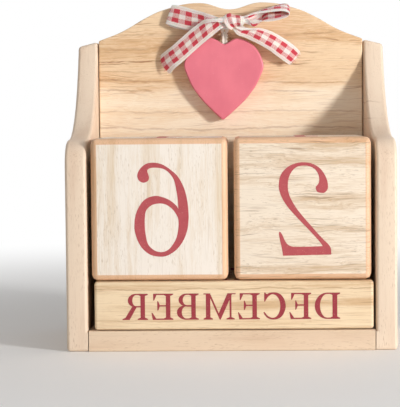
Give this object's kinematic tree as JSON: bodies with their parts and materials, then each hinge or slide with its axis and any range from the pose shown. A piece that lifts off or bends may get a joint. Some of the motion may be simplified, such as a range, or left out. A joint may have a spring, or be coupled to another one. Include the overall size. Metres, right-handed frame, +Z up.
{
  "type": "block calendar",
  "caption": "Open-fronted wooden case with a crowned back, holding number blocks over month bars that pull out, with a hanging heart and a ribbon bow",
  "frame": {"origin": "bottom centre of the bounding box, on the surface that the case stands on", "axes": "+Z up, the open front faces -Y, +X to the right of someone who faces the front"},
  "size_m": [0.121, 0.0632, 0.1307],
  "materials": {
    "back_board": "sanded pine with warm horizontal grain",
    "left_side": "sanded fine-grained board",
    "right_side": "sanded fine-grained board",
    "base_board": "sanded fine-grained board",
    "number_cube_left": "sanded pale wood, printed digits",
    "number_cube_right": "sanded pale wood, printed digits",
    "month_bar_front": "sanded pine, printed letters",
    "month_bar_middle": "sanded pine, printed letters",
    "month_bar_rear": "sanded pine, printed letters",
    "heart": "satin pink-red paint",
    "heart_cord": "twisted jute twine",
    "bow_knot": "red and white gingham ribbon",
    "bow_loop_left": "red and white gingham ribbon",
    "bow_loop_right": "red and white gingham ribbon",
    "bow_tail_left": "red and white gingham ribbon",
    "bow_tail_right": "red and white gingham ribbon",
    "hanging_tack": "bright steel",
    "nail_left_base_1": "bright steel",
    "nail_left_base_2": "bright steel",
    "nail_left_back_1": "bright steel",
    "nail_left_back_2": "bright steel",
    "nail_right_base_1": "bright steel",
    "nail_right_base_2": "bright steel",
    "nail_right_back_1": "bright steel",
    "nail_right_back_2": "bright steel",
    "nail_rear_1": "bright steel",
    "nail_rear_2": "bright steel",
    "nail_rear_3": "bright steel"
  },
  "bodies": {
    "case": {"back_board": "back_board", "left_side": "left_side", "right_side": "right_side", "base_board": "base_board", "hanging_tack": "hanging_tack", "bow_knot": "bow_knot", "bow_loop_left": "bow_loop_left", "bow_loop_right": "bow_loop_right", "bow_tail_left": "bow_tail_left", "bow_tail_right": "bow_tail_right", "nail_left_base_1": "nail_left_base_1", "nail_left_base_2": "nail_left_base_2", "nail_left_back_1": "nail_left_back_1", "nail_left_back_2": "nail_left_back_2", "nail_right_base_1": "nail_right_base_1", "nail_right_base_2": "nail_right_base_2", "nail_right_back_1": "nail_right_back_1", "nail_right_back_2": "nail_right_back_2", "nail_rear_1": "nail_rear_1", "nail_rear_2": "nail_rear_2", "nail_rear_3": "nail_rear_3"},
    "cube_left": {"number_cube_left": "number_cube_left"},
    "cube_right": {"number_cube_right": "number_cube_right"},
    "bar_front": {"month_bar_front": "month_bar_front"},
    "bar_middle": {"month_bar_middle": "month_bar_middle"},
    "bar_rear": {"month_bar_rear": "month_bar_rear"},
    "hanging_heart": {"heart": "heart", "heart_cord": "heart_cord"}
  },
  "joints": [
    {"name": "cube_left_out", "type": "slide", "parent": "case", "child": "cube_left", "axis": [0, -1, 0], "range_m": [-0.005, 0.06]},
    {"name": "cube_right_out", "type": "slide", "parent": "case", "child": "cube_right", "axis": [0, -1, 0], "range_m": [-0.005, 0.06]},
    {"name": "bar_front_out", "type": "slide", "parent": "case", "child": "bar_front", "axis": [0, -1, 0], "range_m": [0, 0.12]},
    {"name": "bar_middle_out", "type": "slide", "parent": "case", "child": "bar_middle", "axis": [0, -1, 0], "range_m": [0, 0.09]},
    {"name": "bar_rear_out", "type": "slide", "parent": "case", "child": "bar_rear", "axis": [0, -1, 0], "range_m": [0, 0.06]},
    {"name": "heart_swing", "type": "hinge", "parent": "case", "child": "hanging_heart", "pos_m": [-0.0022, 0.02385, 0.121], "axis": [0, 1, 0], "range_deg": [-15, 15]}
  ],
  "couplings": [
    {"joint": "bar_middle_out", "follows": "bar_front_out", "ratio": 0.75},
    {"joint": "bar_rear_out", "follows": "bar_front_out", "ratio": 0.5}
  ]
}
